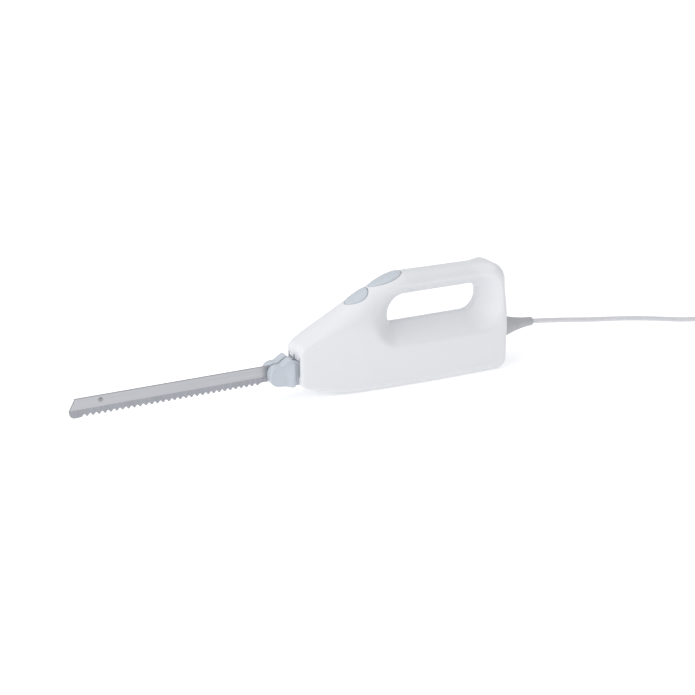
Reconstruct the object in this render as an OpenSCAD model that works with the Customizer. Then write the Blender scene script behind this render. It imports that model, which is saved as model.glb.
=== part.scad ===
// Electric uncapping knife: a loop-handled housing with a worm drive that moves two serrated
// blades in opposite directions. +Z is up, the blades point along -X, and the origin is the
// middle of the flat base that the knife stands on.

/* [Housing] */
// Distance from the base's middle to the flat front of the nose
nose_reach = 136.5; // [135:0.5:138]
// Distance from the base's middle to the flat back
back_reach = 88; // [87:0.5:89]
// Height of the handle's top above the base
housing_h = 109.5; // [108:0.5:111]
// Half of the width across the motor bay
belly_half_w = 27.5; // [27:0.5:29]
// Half of the width at the nose
nose_half_w = 16; // [15.5:0.5:17]
// Half of the width of the handle
grip_half_w = 15.5; // [14.5:0.5:17]
// Wall thickness of both shells
wall_t = 2.2; // [2:0.1:2.6]

/* [Finger opening] */
// Front end of the opening
opening_front = -39; // [-40:0.5:-38]
// Back end of the opening
opening_back = 62; // [61:0.5:63]
// Height of the opening's lower edge
opening_low = 60.2; // [60:0.2:61]
// Height of the opening's upper edge
opening_high = 87.4; // [87:0.2:88]

/* [Hidden] */

eps = 0.01;

// ---------------------------------------------------------------- outline helpers

// n points along a circular arc, without its last point
function arc(c, r, from, to, n) =
    [for (i = [0:n - 1]) let (a = from + (to - from) * i / n) [c.x + r * cos(a), c.y + r * sin(a)]];

// n points along a straight line, without its last point
function line(p, q, n) = [for (i = [0:n - 1]) p + (q - p) * i / n];

// n points along a cubic Bezier curve, without its last point
function bezier(p, n) =
    [for (i = [0:n - 1]) let (t = i / n, u = 1 - t)
        u * u * u * p[0] + 3 * u * u * t * p[1] + 3 * u * t * t * p[2] + t * t * t * p[3]];

function clamp01(v) = max(0, min(1, v));
function ease(v) = let (t = clamp01(v)) t * t * (3 - 2 * t);
function mix(a, b, t) = a + (b - a) * t;

// ---------------------------------------------------------------- side outline of the housing

nose_x = -nose_reach;
back_x = back_reach;
nose_r = 3;          // rounding of the nose's two corners, seen from the side
heel_r = 11;         // rounding of the lower back corner
crown_r = 18;        // rounding of the upper back corner
base_front = -71;    // where the flat base ends and the front starts to rise
nose_low = 12.5;     // lower end of the nose's flat front
nose_high = 52.5;      // upper end of the nose's flat front
crown_z = housing_h - 1;

// The steps of each stretch of the outline: chin, nose, brow, grip, crown, back, heel, base
steps = [7, 4, 16, 7, 7, 6, 4, 8];

outline = concat(
    bezier([[base_front, 0], [base_front - 24, 0], [nose_x + 21, 6], [nose_x + nose_r, nose_low]],
           steps[0]),
    line([nose_x, nose_low + nose_r], [nose_x, nose_high - nose_r], steps[1]),
    bezier([[nose_x + nose_r, nose_high], [nose_x + 45, nose_high + 26],
            [-58, housing_h - 4], [-24, housing_h]], steps[2]),
    line([-24, housing_h], [back_x - crown_r, crown_z], steps[3]),
    arc([back_x - crown_r, crown_z - crown_r], crown_r, 90, 0, steps[4]),
    line([back_x, crown_z - crown_r], [back_x, heel_r], steps[5]),
    arc([back_x - heel_r, heel_r], heel_r, 0, -90, steps[6]),
    line([back_x - heel_r, 0], [base_front, 0], steps[7])
);

// The finger opening's outline, with one point for each point of the housing's outline
opening_r = [18, 9, 15, 7];   // upper front, upper back, lower back, lower front
lower_front_c = [opening_front + opening_r[3], opening_low + opening_r[3]];
lower_back_c = [opening_back - opening_r[2], opening_low + opening_r[2]];
opening = concat(
    arc(lower_front_c, opening_r[3], 270, 215, steps[0]),
    arc(lower_front_c, opening_r[3], 215, 180, steps[1]),
    arc([opening_front + opening_r[0], opening_high - opening_r[0]], opening_r[0], 180, 90, steps[2]),
    line([opening_front + opening_r[0], opening_high], [opening_back - opening_r[1], opening_high],
         steps[3]),
    arc([opening_back - opening_r[1], opening_high - opening_r[1]], opening_r[1], 90, 0, steps[4]),
    arc(lower_back_c, opening_r[2], 0, -45, steps[5]),
    arc(lower_back_c, opening_r[2], -45, -90, steps[6]),
    line([lower_back_c.x, opening_low], [lower_front_c.x, opening_low], steps[7])
);
n_ring = len(outline);

// Evenly spaced values from a to b over stretch k, without the last one
function run(a, b, k) = [for (i = [0:steps[k] - 1]) mix(a, b, i / steps[k])];
// The same with a smooth start and end, finished early when fast is over 1
function soft_run(a, b, k, fast = 1) = [for (i = [0:steps[k] - 1]) mix(a, b, ease(fast * i / steps[k]))];
// Two smooth runs over the brow, from a by way of b to c
function brow_run(a, b, c) =
    [for (i = [0:steps[2] - 1])
        let (t = i / steps[2]) t < 0.4 ? mix(a, b, ease(t / 0.4)) : mix(b, c, ease((t - 0.4) / 0.6))];

// How far the outer rounding reaches inwards from the outline, and how far it reaches sideways
round_depth = concat(run(8, 3, 0), run(2.5, 2.5, 1), brow_run(4, 16, 11.5), run(11.5, 11.5, 3),
    soft_run(11.5, 13.5, 4, 2), soft_run(13.5, 9, 5, 1.6), run(9, 8, 6), run(8, 8, 7));
round_side = concat(run(8, 3, 0), run(2.5, 2.5, 1), brow_run(4, 19, 13.5), run(13.5, 13.5, 3),
    soft_run(13.5, 15, 4, 2), soft_run(15, 10, 5, 1.6), run(10, 8, 6), run(8, 8, 7));
// How far the dish round the finger opening reaches
dish_depth = concat(run(17, 22, 0), run(22, 25, 1), soft_run(25, 12, 2), run(12, 12, 3),
    run(12, 22, 4), run(22, 22, 5), run(22, 17, 6), run(17, 17, 7));

// ---------------------------------------------------------------- side walls

function off_segment(p, a, b) =
    let (ab = b - a, t = clamp01((p - a) * ab / (ab * ab))) [norm(p - a - t * ab), t];

// [distance to a closed outline, where along it the nearest point lies, in steps]
function nearest(p, loop) =
    let (n = len(loop),
         all = [for (i = [0:n - 1]) off_segment(p, loop[i], loop[(i + 1) % n])],
         d = [for (a = all) a[0]], best = min(d), i = search(best, d)[0])
    [best, i + all[i][1]];

function at(values, where) =
    let (n = len(values), i = floor(where)) mix(values[i % n], values[(i + 1) % n], where - i);

// Half of the housing's width before its edges are rounded
function half_width(p) =
    let (t = clamp01((p.x + nose_reach) / 170),
         w = mix(nose_half_w, belly_half_w, 1 - (1 - t) * (1 - t)),
         up = ease((p.y - 58) / 34) * ease((p.x + 105) / 55) * (1 - 0.7 * ease((p.x - 52) / 32)))
    mix(w, grip_half_w, up);

throat_r = 7;
throat_flat = 1.5;
blend = 3;

function soft_min(a, b, k) = let (h = max(k - abs(a - b), 0) / k) min(a, b) - h * h * k / 4;

// Distance of the side wall from the middle plane, offset inwards by t
function side_at(p, t) =
    let (o = nearest(p, outline), i = nearest(p, opening),
         w = half_width(p),
         depth = at(round_depth, o[1]) - t, side = min(at(round_side, o[1]), w - 0.4) - t,
         d = max(0, o[0] - t), q = min(1, d / depth),
         outer = w - t - side + side * sqrt(1 - (1 - q) * (1 - q)),
         r = throat_r - t, e = max(0, i[0] - t), e1 = r * 0.357, h1 = throat_flat + r * 0.766,
         slope = (w + 2 - throat_flat - throat_r * 0.766) / (at(dish_depth, i[1]) - throat_r * 0.357),
         inner = e < e1 ? throat_flat + sqrt(r * r - (r - e) * (r - e)) : h1 + slope * (e - e1))
    soft_min(outer, inner, blend);

// A closed outline moved to its left side by d
function moved(loop, d) =
    let (n = len(loop))
    [for (i = [0:n - 1])
        let (v = loop[(i + 1) % n] - loop[(i + n - 1) % n], u = v / norm(v))
        loop[i] + d * [u.y, -u.x]];

// Where the wall's columns lie between the outline and the opening
function columns(l, i) =
    let (a = min(round_depth[i], 0.46 * l), b = min(dish_depth[i], 0.46 * l))
    concat([for (k = [0:3]) a / l * (1 - cos(k * 30))],
           [mix(a / l, 1 - b / l, 0.5)],
           [1 - b / l, 1 - 0.62 * b / l, 1 - 0.3 * b / l],
           [for (k = [1:2]) 1 - 2.6 / l * (1 - sin(k * 45))]);

// One row of the half shell's closed grid: the outer face, then back along the inner one
function shell_row(i, o_in, h_in) =
    let (o = outline[i], h = opening[i], oi = o_in[i], hi = h_in[i],
         out = [for (c = columns(norm(h - o), i)) mix(o, h, c)],
         back = [for (c = columns(norm(hi - oi), i)) mix(oi, hi, c)], m = len(back))
    concat([[o.x, 0, o.y]],
           [for (p = out) [p.x, -side_at(p, 0), p.y]],
           [[h.x, 0, h.y], [hi.x, 0, hi.y]],
           [for (k = [m - 1:-1:0]) let (p = back[k]) [p.x, -side_at(p, wall_t), p.y]],
           [[oi.x, 0, oi.y]]);

module half_shell() {
    o_in = moved(outline, wall_t);
    h_in = moved(opening, -wall_t);
    rows = [for (i = [0:n_ring - 1]) shell_row(i, o_in, h_in)];
    m = len(rows[0]);
    polyhedron(
        points = [for (r = rows) each r],
        faces = [for (i = [0:n_ring - 1]) for (k = [0:m - 1])
            let (a = i * m + k, b = i * m + (k + 1) % m,
                 c = ((i + 1) % n_ring) * m + (k + 1) % m, d = ((i + 1) % n_ring) * m + k)
            each [[a, c, b], [a, d, c]]]);
}

// The solid inside the half shell, t below its outer face
module half_core(t) {
    o_in = moved(outline, t);
    h_in = moved(opening, -t);
    rows = [for (i = [0:n_ring - 1])
        let (oi = o_in[i], hi = h_in[i], c = columns(norm(hi - oi), i))
        concat([[oi.x, 0, oi.y]],
               [for (f = c) let (p = mix(oi, hi, f)) [p.x, -side_at(p, t), p.y]],
               [[hi.x, 0, hi.y]])];
    m = len(rows[0]);
    polyhedron(
        points = [for (r = rows) each r],
        faces = [for (i = [0:n_ring - 1]) for (k = [0:m - 1])
            let (a = i * m + k, b = i * m + (k + 1) % m,
                 c = ((i + 1) % n_ring) * m + (k + 1) % m, d = ((i + 1) % n_ring) * m + k)
            each [[a, c, b], [a, d, c]]]);
}

// ---------------------------------------------------------------- building blocks

// A box between two corners
module block(lo, hi) {
    translate(lo) cube(hi - lo);
}

// A round bar along X at (y, z)
module bar_x(x0, x1, r, y, z, n = 64) {
    translate([x0, y, z]) rotate([0, 90, 0]) cylinder(r = r, h = x1 - x0, $fn = n);
}

// A round bar along Y at (x, z)
module bar_y(y0, y1, r, x, z, n = 64) {
    translate([x, y0, z]) rotate([-90, 0, 0]) cylinder(r = r, h = y1 - y0, $fn = n);
}

// A plate with a side profile drawn in X and Z, from y0 to y1
module plate_y(y0, y1) {
    translate([0, y1, 0]) rotate([90, 0, 0]) linear_extrude(y1 - y0) children();
}

// A bar with a cross-section drawn in Y and Z, from x0 to x1
module plate_x(x0, x1) {
    translate([x0, 0, 0]) rotate([90, 0, 90]) linear_extrude(x1 - x0) children();
}

// A close-wound coil along Z: n turns of wire wr round a mean radius r
module coil(r, wr, n) {
    for (i = [0:n - 1]) translate([0, 0, wr + i * 1.8 * wr])
        rotate_extrude($fn = 64) translate([r, 0]) circle(r = wr, $fn = 24);
}

// Moves children from the local frame of a button to its place on the ridge
module at_button(place, tilt) {
    translate([place[0], 0, place[1]]) rotate([0, -tilt, 0]) children();
}

// ---------------------------------------------------------------- shared places

shaft_z = 24;                     // motor shaft
shaft_r = 2.5;
wheel_x = -66;                    // worm wheel, over the worm
wheel_z = shaft_z + 17.6;
stroke = 3;                       // half of each blade's travel
bar_in = 6.5;                     // drive bars, distances from the middle plane
bar_out = 8.5;
motor_x = 12;                     // middle of the field core
run_gap = 0.05;                   // radial clearance of a running fit

release_at = [-71.5, 91.6];       // release button on the brow
release_tilt = 30;
switch_at = [-41, 105.4];         // on-off button behind it
switch_tilt = 17;
press = 2.5;                      // travel of either button

relief_z = 35;                    // cord outlet

// [x, z] of the screws that join the halves
screw_at = [[-95, 12.5], [-118, 54.5], [-30, 9.5], [77, 12], [75, 94], [-6, 98.5]];

// ---------------------------------------------------------------- housing

module release_outline() {
    union() {
        translate([-2, 0]) circle(r = 10.5, $fn = 64);
        translate([2.5, 0]) circle(r = 10.5, $fn = 64);
    }
}

module switch_outline() {
    union() {
        translate([8, 0]) circle(r = 10, $fn = 64);
        polygon([[8, 10], [-6, 9], [-14, 5.6], [-18.2, 0], [-14, -5.6], [-6, -9], [8, -10]]);
    }
}

// The same outlines with clearance all round
module release_hole() {
    union() {
        translate([-2, 0]) circle(r = 10.9, $fn = 48);
        translate([2.5, 0]) circle(r = 10.9, $fn = 48);
    }
}

module switch_hole() {
    union() {
        translate([8, 0]) circle(r = 10.4, $fn = 48);
        polygon([[8, 10.4], [-6, 9.4], [-14.4, 5.9], [-18.8, 0], [-14.4, -5.9], [-6, -9.4], [8, -10.4]]);
    }
}

// Posts, seats and ribs inside the left half, before they are trimmed to the shell
module fittings(post_r) {
    for (p = screw_at) bar_y(-40, 0, post_r, p[0], p[1], 24);
    at_button(release_at, release_tilt) translate([1, 0, -23])
        difference() {
            cylinder(r = 5, h = 11, $fn = 24);
            translate([0, 0, 2]) cylinder(r = 4, h = 10, $fn = 24);
        }
    at_button(switch_at, switch_tilt) translate([9, 0, -15])
        difference() {
            cylinder(r = 4.6, h = 7, $fn = 24);
            translate([0, 0, 2]) cylinder(r = 3.7, h = 6, $fn = 24);
        }
    // ribs under the gear frame, the drive guide and the motor
    block([-80, -40, -1], [-77, 0, 7.9]);
    block([-55, -40, -1], [-52, 0, 7.9]);
    block([-99, -40, -1], [-95.5, 0, 18.9]);
    block([4, -40, -1], [6, 0, 6.9]);
    block([18, -40, -1], [20, 0, 6.9]);
    block([46.2, -40, -1], [48.8, 0, 16.8]);
    // seat of the switch, and walls that hold the cord's anchor
    block([-58, -40, 70], [-50, 0, 73.9]);
    block([80, -40, 25], [82, 0, 45]);
    // ledges under the capacitor, the terminals and the cord's anchor
    block([58, -40, -1], [60, 0, 11.9]);
    block([64, -40, -1], [66, 0, 11.9]);
    block([58, -40, 26], [65, -10.5, 28.9]);
    block([71, -40, 24], [78, -8.5, 26.9]);
}

// Half of the window in the nose, in Y and Z: a narrow foot, an ear at each side and a notch in the middle
nose_window = [[10.4, 14.2], [10.4, 22.6], [12.8, 25], [12.8, 41.6], [12.2, 43], [11.4, 43], [10.4, 41.6],
    [10.4, 39.4], [1.2, 39.4], [1.2, 43.4]];

module shell_cuts() {
    plate_x(-140, -131) polygon(concat(nose_window, [for (i = [len(nose_window) - 1:-1:0])
        [-nose_window[i][0], nose_window[i][1]]]));
    at_button(release_at, release_tilt) translate([0, 0, -9]) linear_extrude(20) release_hole();
    at_button(switch_at, switch_tilt) translate([0, 0, -7.5]) linear_extrude(16) switch_hole();
    bar_x(78, 95, 6, 0, relief_z, 48);
    // air slots under the motor and in the back
    for (i = [0:5]) block([-26 + 4.5 * i, -14, -1], [-23.8 + 4.5 * i, 14, 3]);
    for (i = [0:4]) block([80, -13, 53 + 5 * i], [95, 13, 55.4 + 5 * i]);
}

module left_housing() {
    color("white") difference() {
        union() {
            half_shell();
            intersection() {
                half_core(1);
                difference() {
                    fittings(3.8);
                    for (p = screw_at) bar_y(-11, 1, 1.5, p[0], p[1], 24);
                }
            }
        }
        shell_cuts();
    }
}

module right_housing() {
    color("white") mirror([0, 1, 0]) difference() {
        union() {
            half_shell();
            intersection() {
                half_core(1);
                fittings(4.8);
            }
        }
        shell_cuts();
        for (p = screw_at) {
            bar_y(-9, 1, 1.8, p[0], p[1], 24);
            bar_y(-40, -8, 3.3, p[0], p[1], 24);
        }
    }
}

module housing_screws() {
    color("silver") for (p = screw_at) difference() {
        union() {
            bar_y(-10, 8, 1.4, p[0], p[1]);
            bar_y(8, 10.4, 2.9, p[0], p[1]);
        }
        block([p[0] - 0.5, 9.4, p[1] - 2], [p[0] + 0.5, 11, p[1] + 2]);
        block([p[0] - 2, 9.4, p[1] - 0.5], [p[0] + 2, 11, p[1] + 0.5]);
    }
}

// ---------------------------------------------------------------- blades

blade_in = 0.15;      // faces of the left blade, distances from the middle plane
blade_out = 1.2;
spine_z = 36.1;
tooth_z = 18.3;
tooth_pitch = 5.46;
first_tooth = -344;
rivet_at = [-326, 32];

module blade_profile() {
    polygon(concat(
        [[-126, 22], [-126, 33], [-146, 33], [-146, spine_z], [-348.8, spine_z], [-354.8, 24.6],
         [-354.5, 21.4], [-353.4, 19.4], [-351.6, 18.3], [-349.4, 18], [first_tooth, tooth_z]],
        [for (i = [0:30]) for (k = [1:6])
            [first_tooth + tooth_pitch * (i + k / 6), tooth_z + 1.2 * (1 - cos(60 * k))]],
        [[-171, 20.4], [-146, 20.4], [-146, 22]]));
}

// The left blade's plate, ground away below the middle of its outer face
module ground_blade() {
    difference() {
        plate_y(-blade_out, -blade_in) blade_profile();
        plate_x(-356, -171)
            polygon([[-blade_out - 1, 26], [-blade_out, 26], [-0.45, 17], [-0.45, 10], [-4, 10]]);
        for (x = [-134, -142]) bar_y(-2, 0, 2.05, x, 28, 32);
    }
}

module left_blade() {
    color("lightgray") difference() {
        ground_blade();
        bar_y(-2, 0, 1.52, rivet_at[0], rivet_at[1]);
    }
}

module right_blade() {
    color("lightgray") mirror([0, 1, 0]) difference() {
        ground_blade();
        bar_y(-2, 0, 1.7, rivet_at[0] - 2 * stroke - 0.3, rivet_at[1], 32);
        bar_y(-2, 0, 1.7, rivet_at[0] + 2 * stroke + 0.3, rivet_at[1], 32);
        block([rivet_at[0] - 2 * stroke - 0.3, -2, rivet_at[1] - 1.7],
              [rivet_at[0] + 2 * stroke + 0.3, 0, rivet_at[1] + 1.7]);
    }
}

module tip_rivet() {
    color("gray") union() {
        bar_y(-1.7, -1.2, 2.3, rivet_at[0], rivet_at[1]);
        bar_y(-1.3, 1.6, 1.5, rivet_at[0], rivet_at[1]);
        bar_y(1.5, 2.1, 2.7, rivet_at[0], rivet_at[1]);
    }
}

ferrule_out = 11.2;   // outer face of a ferrule's head
neck_out = 9.8;       // sides of its neck, which slides in the nose
neck_x = -140;        // where the head ends and the neck begins

// Side profile of the head: an upright rounded front and a hump over the back
module ferrule_outline() {
    union() {
        for (z = [25.6, 28.9]) translate([-157.3, z]) circle(r = 8.2, $fn = 96);
        translate([-165.5, 25.6]) square([8.2, 3.3]);
        translate([-144.9, 39.4]) circle(r = 3, $fn = 64);
        polygon([[-157.3, 17.4], [-150, 16.3], [-143, 14], [-140.8, 14], [neck_x, 14.6], [neck_x, 38.2],
                 [-142.6, 41.3], [-146.4, 42], [-154.2, 37.1], [-157.3, 37.1]]);
    }
}

module ferrule() {
    difference() {
        union() {
            plate_y(-ferrule_out, -blade_out) ferrule_outline();
            plate_y(-neck_out, -blade_out) translate([neck_x - 1, 15.2]) square([22, 22.9]);
            // raised upright band for the fingers
            block([-144.4, -ferrule_out - 0.5, 17], [neck_x - 0.2, -ferrule_out + 1, 38]);
            for (x = [-134, -142]) bar_y(-blade_out - 0.5, -0.3, 2, x, 28, 32);
        }
        // pocket for the drive bar and its clip, with a window for the clip's tooth
        block([-133, -bar_out - 0.1, 23.9], [-118, -bar_in + 0.1, 36]);
        block([-126.5, -bar_out - 0.1, 35], [-121, -bar_in + 0.1, 42]);
    }
}

module left_ferrule() {
    color("gainsboro") ferrule();
}

module right_ferrule() {
    color("gainsboro") mirror([0, 1, 0]) ferrule();
}

// ---------------------------------------------------------------- drive

module drive_bar() {
    difference() {
        plate_y(-bar_out, -bar_in) difference() {
            union() {
                translate([wheel_x - 10.8, wheel_z - 14]) square([21.6, 28]);
                polygon([[-76, 47], [-76, 33], [-90, 24], [-132.5, 24], [-132.5, 34], [-93, 34]]);
            }
            translate([wheel_x - 7.6, wheel_z - 11]) square([15.2, 22]);
        }
    }
}

module left_drive_bar() {
    color("slategray") drive_bar();
}

module right_drive_bar() {
    color("slategray") mirror([0, 1, 0]) drive_bar();
}

module clip() {
    plate_y(-bar_out + 0.2, -bar_in - 0.2)
        polygon([[-101, 34], [-101, 35.3], [-121.6, 35.3], [-122.4, 38],
                 [-124.6, 36.2], [-125.2, 34.4], [-105, 34.4], [-104.6, 34]]);
}

module left_clip() {
    color("silver") clip();
}

module right_clip() {
    color("silver") mirror([0, 1, 0]) clip();
}

module drive_guide() {
    color("dimgray") difference() {
        block([-100, -12, 19], [-94, 12, 39]);
        block([-101, -bar_out - 0.3, 23.7], [-93, -bar_in + 0.3, 38]);
        block([-101, bar_in - 0.3, 23.7], [-93, bar_out + 0.3, 38]);
    }
}

wheel_teeth = 24;
tooth_lead = 3.5;

module worm_wheel() {
    color("ivory") translate([wheel_x, 3, wheel_z]) rotate([90, 0, 0]) linear_extrude(6) difference() {
        union() {
            circle(r = 12.3, $fn = 96);
            for (i = [0:wheel_teeth - 1]) rotate(270 + i * 360 / wheel_teeth)
                polygon([[12, -0.85], [14.3, -0.42], [14.3, 0.42], [12, 0.85]]);
        }
        circle(r = shaft_r + run_gap, $fn = 64);
        for (a = [45:90:315]) rotate(a) translate([9, 0]) circle(r = 1.6, $fn = 32);
    }
}

module eccentric() {
    difference() {
        bar_y(-6.2, -3, 7.5, wheel_x, wheel_z + stroke);
        bar_y(-7, -2, shaft_r + run_gap, wheel_x, wheel_z);
    }
}

module left_eccentric() {
    color("silver") eccentric();
}

module right_eccentric() {
    color("silver") translate([0, 0, 2 * wheel_z]) rotate([180, 0, 0]) eccentric();
}

module wheel_axle() {
    color("silver") bar_y(-12.5, 12.5, shaft_r, wheel_x, wheel_z);
}

// Helical thread along X whose crest is half a lead in front of the wheel's axis
module worm_thread(core, tip, turns, n) {
    steps_n = turns * n;
    section = [[-1, core - 0.25], [-0.4, tip], [0.4, tip], [1, core - 0.25]];
    rows = [for (i = [0:steps_n])
        let (a = 90 + 360 * i / n, x = tooth_lead * (i / n - turns / 2))
        [for (s = section) [x + s[0], s[1] * cos(a), s[1] * sin(a)]]];
    m = len(section);
    polyhedron(
        points = [for (r = rows) each r],
        faces = concat(
            [[for (k = [m - 1:-1:0]) k], [for (k = [0:m - 1]) steps_n * m + k]],
            [for (i = [0:steps_n - 1]) for (k = [0:m - 1])
                let (a = i * m + k, b = i * m + (k + 1) % m)
                each [[a, b, b + m], [a, b + m, a + m]]]));
}

module worm() {
    color("goldenrod") difference() {
        union() {
            translate([wheel_x, 0, shaft_z]) worm_thread(3, 4.9, 5, 24);
            bar_x(wheel_x - 11.5, wheel_x + 11.5, 3, 0, shaft_z, 48);
        }
        bar_x(wheel_x - 12, wheel_x + 12, shaft_r + 0.06, 0, shaft_z, 48);
    }
}

module motor_shaft() {
    color("silver") bar_x(-84.5, 52, shaft_r, 0, shaft_z);
}

module gear_frame() {
    color("lightslategray") difference() {
        union() {
            block([-84, -12.5, 8], [-46, 12.5, 10]);
            block([-80, 10.5, 9], [-46, 12.5, 50]);
            block([-80, -12.5, 9], [-46, -10.5, 50]);
            block([-84, -5.9, 9], [-80, 5.9, 31]);
            block([-50, -21.8, 8], [-46, 21.8, 46]);
        }
        bar_x(-85, -79, 4.5, 0, shaft_z);
        bar_x(-51, -45, 4.5, 0, shaft_z);
        for (s = [-1, 1]) bar_x(-51, -45, 1.25, 20 * s, shaft_z);
        bar_y(-13, 13, shaft_r + 0.02, wheel_x, wheel_z);
    }
}

module bush(x0, x1) {
    difference() {
        bar_x(x0, x1, 4.48, 0, shaft_z);
        bar_x(x0 - 1, x1 + 1, shaft_r + run_gap, 0, shaft_z);
    }
}

module front_bearing() {
    color("tan") bush(-84, -80);
}

module middle_bearing() {
    color("tan") bush(-50, -46);
}

module rear_bearing() {
    color("tan") bush(45.5, 49.5);
}

// ---------------------------------------------------------------- motor

module armature_core() {
    color("darkgray") difference() {
        bar_x(-1, 25, 11.9, 0, shaft_z, 96);
        bar_x(-2, 26, shaft_r, 0, shaft_z);
        for (a = [0:30:330]) translate([-2, 0, shaft_z]) rotate([a, 0, 0]) translate([0, 0, 9.4]) union() {
            rotate([0, 90, 0]) cylinder(r = 1.5, h = 28, $fn = 32);
            translate([0, -0.5, 0]) cube([28, 1, 4]);
        }
    }
}

module armature_windings() {
    color("peru") union() {
        for (x = [-7, 25]) difference() {
            bar_x(x, x + 6, 9.6, 0, shaft_z);
            bar_x(x - 1, x + 7, shaft_r, 0, shaft_z);
        }
        for (a = [0:30:330]) translate([-2, 0, shaft_z]) rotate([a, 0, 0]) translate([0, 0, 8.6])
            rotate([0, 90, 0]) cylinder(r = 0.6, h = 28, $fn = 24);
    }
}

module commutator() {
    color("chocolate") difference() {
        bar_x(31, 42, 6.5, 0, shaft_z);
        bar_x(30, 43, shaft_r, 0, shaft_z);
        for (a = [0:30:330])
            translate([33, 0, shaft_z]) rotate([a, 0, 0]) translate([0, -0.2, 6]) cube([10, 0.4, 2]);
    }
}

module cooling_fan() {
    color("black") difference() {
        union() {
            bar_x(-20, -18.4, 16, 0, shaft_z);
            bar_x(-20, -11, 5, 0, shaft_z);
            for (a = [0:40:320])
                translate([-20, 0, shaft_z]) rotate([a, 0, 0]) translate([0, -0.6, 4]) cube([8, 1.2, 11.6]);
        }
        bar_x(-21, -10, shaft_r, 0, shaft_z);
    }
}

module field_core() {
    color("gray") difference() {
        block([motor_x - 13, -22, shaft_z - 17], [motor_x + 13, 22, shaft_z + 17]);
        bar_x(motor_x - 14, motor_x + 14, 12.4, 0, shaft_z, 96);
        for (sy = [-1, 1]) for (sz = [-1, 1])
            translate([motor_x, 14 * sy, shaft_z + 11.75 * sz]) cube([30, 8, 4.5], center = true);
        for (s = [-1, 1]) bar_x(motor_x - 14, motor_x + 14, 1.25, 20 * s, shaft_z);
    }
}

module field_coils() {
    color("sienna") for (s = [-1, 1]) translate([motor_x, 14 * s, shaft_z]) difference() {
        cube([40, 7.2, 27.4], center = true);
        cube([30, 9, 19.8], center = true);
        for (a = [-1, 1]) for (b = [-1, 1]) translate([20 * a, 0, 13.7 * b]) rotate([0, 45, 0])
            cube([4, 9, 4], center = true);
    }
}

module rear_bracket() {
    color("lightslategray") difference() {
        union() {
            block([46, -22, 17], [49, 22, 31]);
            bar_x(45.5, 49.5, 7, 0, shaft_z);
            for (s = [-1, 1]) translate([43.6, 15.5 * s, shaft_z]) cube([4.8, 6, 7], center = true);
        }
        bar_x(45, 50, 4.5, 0, shaft_z);
        for (s = [-1, 1]) bar_x(45, 50, 1.25, 20 * s, shaft_z);
    }
}

module motor_bolts() {
    color("silver") for (s = [-1, 1]) union() {
        bar_x(-50.5, 51, 1.2, 20 * s, shaft_z);
        translate([49, 20 * s, shaft_z]) rotate([0, 90, 0]) cylinder(r = 2.3, h = 2, $fn = 6);
        bar_x(-51.6, -50, 1.8, 20 * s, shaft_z);
    }
}

module brush_holder() {
    difference() {
        block([32.9, 7.6, 20.2], [41.2, 18.4, 27.8]);
        block([33.9, 7, 21.4], [40.1, 17.5, 26.6]);
    }
}

module left_brush_holder() {
    color("gold") mirror([0, 1, 0]) brush_holder();
}

module right_brush_holder() {
    color("gold") brush_holder();
}

module brush() {
    block([34, 6.8, 21.5], [40, 13.6, 26.5]);
}

module left_brush() {
    color("black") mirror([0, 1, 0]) brush();
}

module right_brush() {
    color("black") brush();
}

module brush_spring() {
    translate([37, 13.6, 24]) rotate([-90, 0, 0]) coil(1.8, 0.3, 7);
}

module left_brush_spring() {
    color("silver") mirror([0, 1, 0]) brush_spring();
}

module right_brush_spring() {
    color("silver") brush_spring();
}

// ---------------------------------------------------------------- buttons

// A cap that follows the ridge: the outline raised through a barrel of radius r
module button_cap(r, low) {
    intersection() {
        translate([0, 0, low]) linear_extrude(14) children();
        translate([-30, 0, 0.9 - r]) rotate([0, 90, 0]) cylinder(r = r, h = 60, $fn = 128);
    }
}

module release_button() {
    color("lightsteelblue") at_button(release_at, release_tilt) union() {
        button_cap(19, -7) release_outline();
        translate([1, 0, -16]) cylinder(r = 1.9, h = 10, $fn = 48);
    }
}

module release_spring() {
    color("silver") at_button(release_at, release_tilt) translate([1, 0, -17.7]) coil(3, 0.4, 14);
}

module release_pusher() {
    color("slategray") union() {
        at_button(release_at, release_tilt) block([-12, -2.5, -13], [-6, 2.5, -7]);
        plate_y(-2.5, 2.5)
            polygon([[-77, 77.5], [-71.8, 73.6], [-102.5, 40], [-104, 37.9],
                     [-113, 37.9], [-113, 41.4], [-109.5, 41.4]]);
        block([-113, -9, 37.9], [-107, 9, 41.4]);
    }
}

module on_off_button() {
    color("lightsteelblue") at_button(switch_at, switch_tilt) union() {
        button_cap(16, -5) switch_outline();
        translate([-11, 0, -12]) cylinder(r = 2, h = 9, $fn = 48);
        translate([9, 0, -9.5]) cylinder(r = 1.8, h = 6, $fn = 48);
    }
}

module on_off_spring() {
    color("silver") at_button(switch_at, switch_tilt) translate([9, 0, -9.8]) coil(2.7, 0.35, 7);
}

module switch_body() {
    color("dimgray") difference() {
        block([-53.5, -5, 74], [-43, 5, 85]);
        at_button(switch_at, switch_tilt) translate([-11, 0, -22.5]) cylinder(r = 1.75, h = 22.5, $fn = 48);
    }
}

module switch_plunger() {
    color("white") at_button(switch_at, switch_tilt)
        translate([-11, 0, -19.5]) cylinder(r = 1.7, h = 7.2, $fn = 48);
}

// ---------------------------------------------------------------- cord

cord_r = 2.5;
coil_at = [425, 24.5];
coil_mean = 29.4;
coil_lift = 0.7;                  // height of the coil's underside, over its tie

module strain_relief() {
    color("gray") translate([0, 0, relief_z]) rotate([0, 90, 0]) rotate_extrude($fn = 96) polygon([
        [2.6, 82.2], [9, 82.2], [9, 85.6], [5.9, 85.6], [5.9, 88.1], [12.4, 88.1], [11.8, 92], [10.6, 97],
        [8.6, 104.6], [7.2, 110], [6, 116], [5.1, 122], [4.6, 126], [4.4, 130], [4, 132], [2.6, 132]]);
}

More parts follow.
